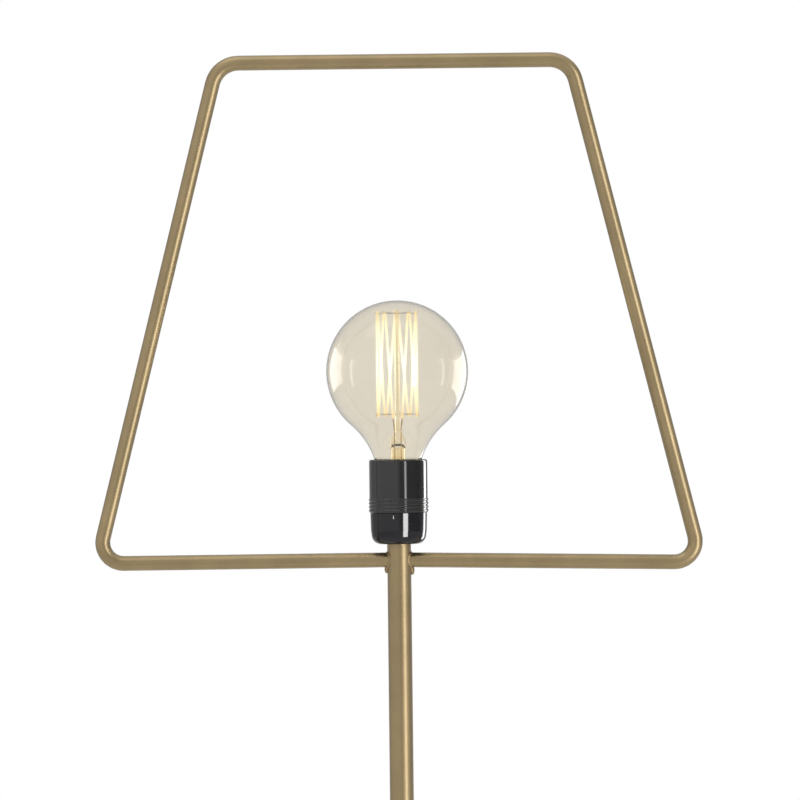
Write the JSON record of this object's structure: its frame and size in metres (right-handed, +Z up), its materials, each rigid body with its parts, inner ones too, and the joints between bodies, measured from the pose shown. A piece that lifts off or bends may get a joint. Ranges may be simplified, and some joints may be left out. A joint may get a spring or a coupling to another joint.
{
  "type": "floor lamp",
  "caption": "Floor lamp with a bent rod in the outline of a lampshade round an open lampholder and a large globe bulb, on a slim pole with a round base.",
  "frame": {"origin": "on the floor under the pole's axis", "axes": "+Z up along the pole, X along the shade outline's plane, -Y towards the front"},
  "size_m": [0.407, 0.28, 1.4989],
  "materials": {
    "gold_rod": "satin gold plated steel",
    "gold_pole": "satin gold plated steel",
    "gold_weld": "gold plated weld, a little darker",
    "gold_plate": "satin gold plated steel",
    "pad_rubber": "matt",
    "zinc_steel": "zinc plated",
    "bare_steel": "turned",
    "bush_plastic": "satin",
    "holder_black": "glossy moulded resin",
    "contact_brass": "bare",
    "shell_brass": "bare sheet",
    "porcelain": "glazed ceramic",
    "lead_sheath": "satin",
    "core_blue": "satin",
    "core_brown": "satin",
    "ferrule_tin": "tinned",
    "amber_glass": "clear amber",
    "cap_brass": "bare sheet",
    "cap_black_glass": "glossy",
    "stem_glass": "clear",
    "hook_metal": "drawn wire",
    "filament_carbon": "fine coiled wire",
    "lead_in_metal": "drawn wire",
    "solder": "bright"
  },
  "bodies": {
    "lamp": {"shade_frame": "gold_rod", "pole_tube": "gold_pole", "weld_bead_left": "gold_weld", "weld_bead_right": "gold_weld", "pole_foot_plug": "bare_steel", "pole_top_bush": "bare_steel", "threaded_nipple": "zinc_steel", "cable_grommet": "bush_plastic", "base_plate": "gold_plate", "floor_pads": "pad_rubber", "base_washer": "zinc_steel", "base_bolt": "zinc_steel", "lampholder_dome": "holder_black", "dome_thread_insert": "contact_brass", "dome_grub_screw": "zinc_steel", "insulator_block": "porcelain", "shell_terminal": "contact_brass", "centre_terminal": "contact_brass", "terminal_screws": "zinc_steel", "shell_rivet": "contact_brass", "centre_rivet": "contact_brass", "centre_contact": "contact_brass", "screw_shell": "shell_brass", "lampholder_skirt": "holder_black", "inner_lead": "lead_sheath", "core_neutral": "core_blue", "core_live": "core_brown", "wire_ferrules": "ferrule_tin"},
    "bulb_tip": {"bulb_tip_contact": "solder"},
    "bulb": {"bulb_glass": "amber_glass", "bulb_cap": "cap_brass", "cap_insulator": "cap_black_glass", "bulb_stem": "stem_glass", "filament_hooks": "hook_metal", "filament": "filament_carbon", "lead_in_wires": "lead_in_metal"}
  },
  "joints": [
    {"name": "bulb_lift", "type": "slide", "parent": "lamp", "child": "bulb_tip", "axis": [0, 0, 1], "range_m": [0, 0.01452]},
    {"name": "bulb_turn", "type": "hinge", "parent": "bulb_tip", "child": "bulb", "pos_m": [0, 0, 1.1936], "axis": [0, 0, 1], "range_deg": [0, 1440]}
  ],
  "couplings": [
    {"joint": "bulb_lift", "follows": "bulb_turn", "m_per_rad": 0.00057757}
  ]
}
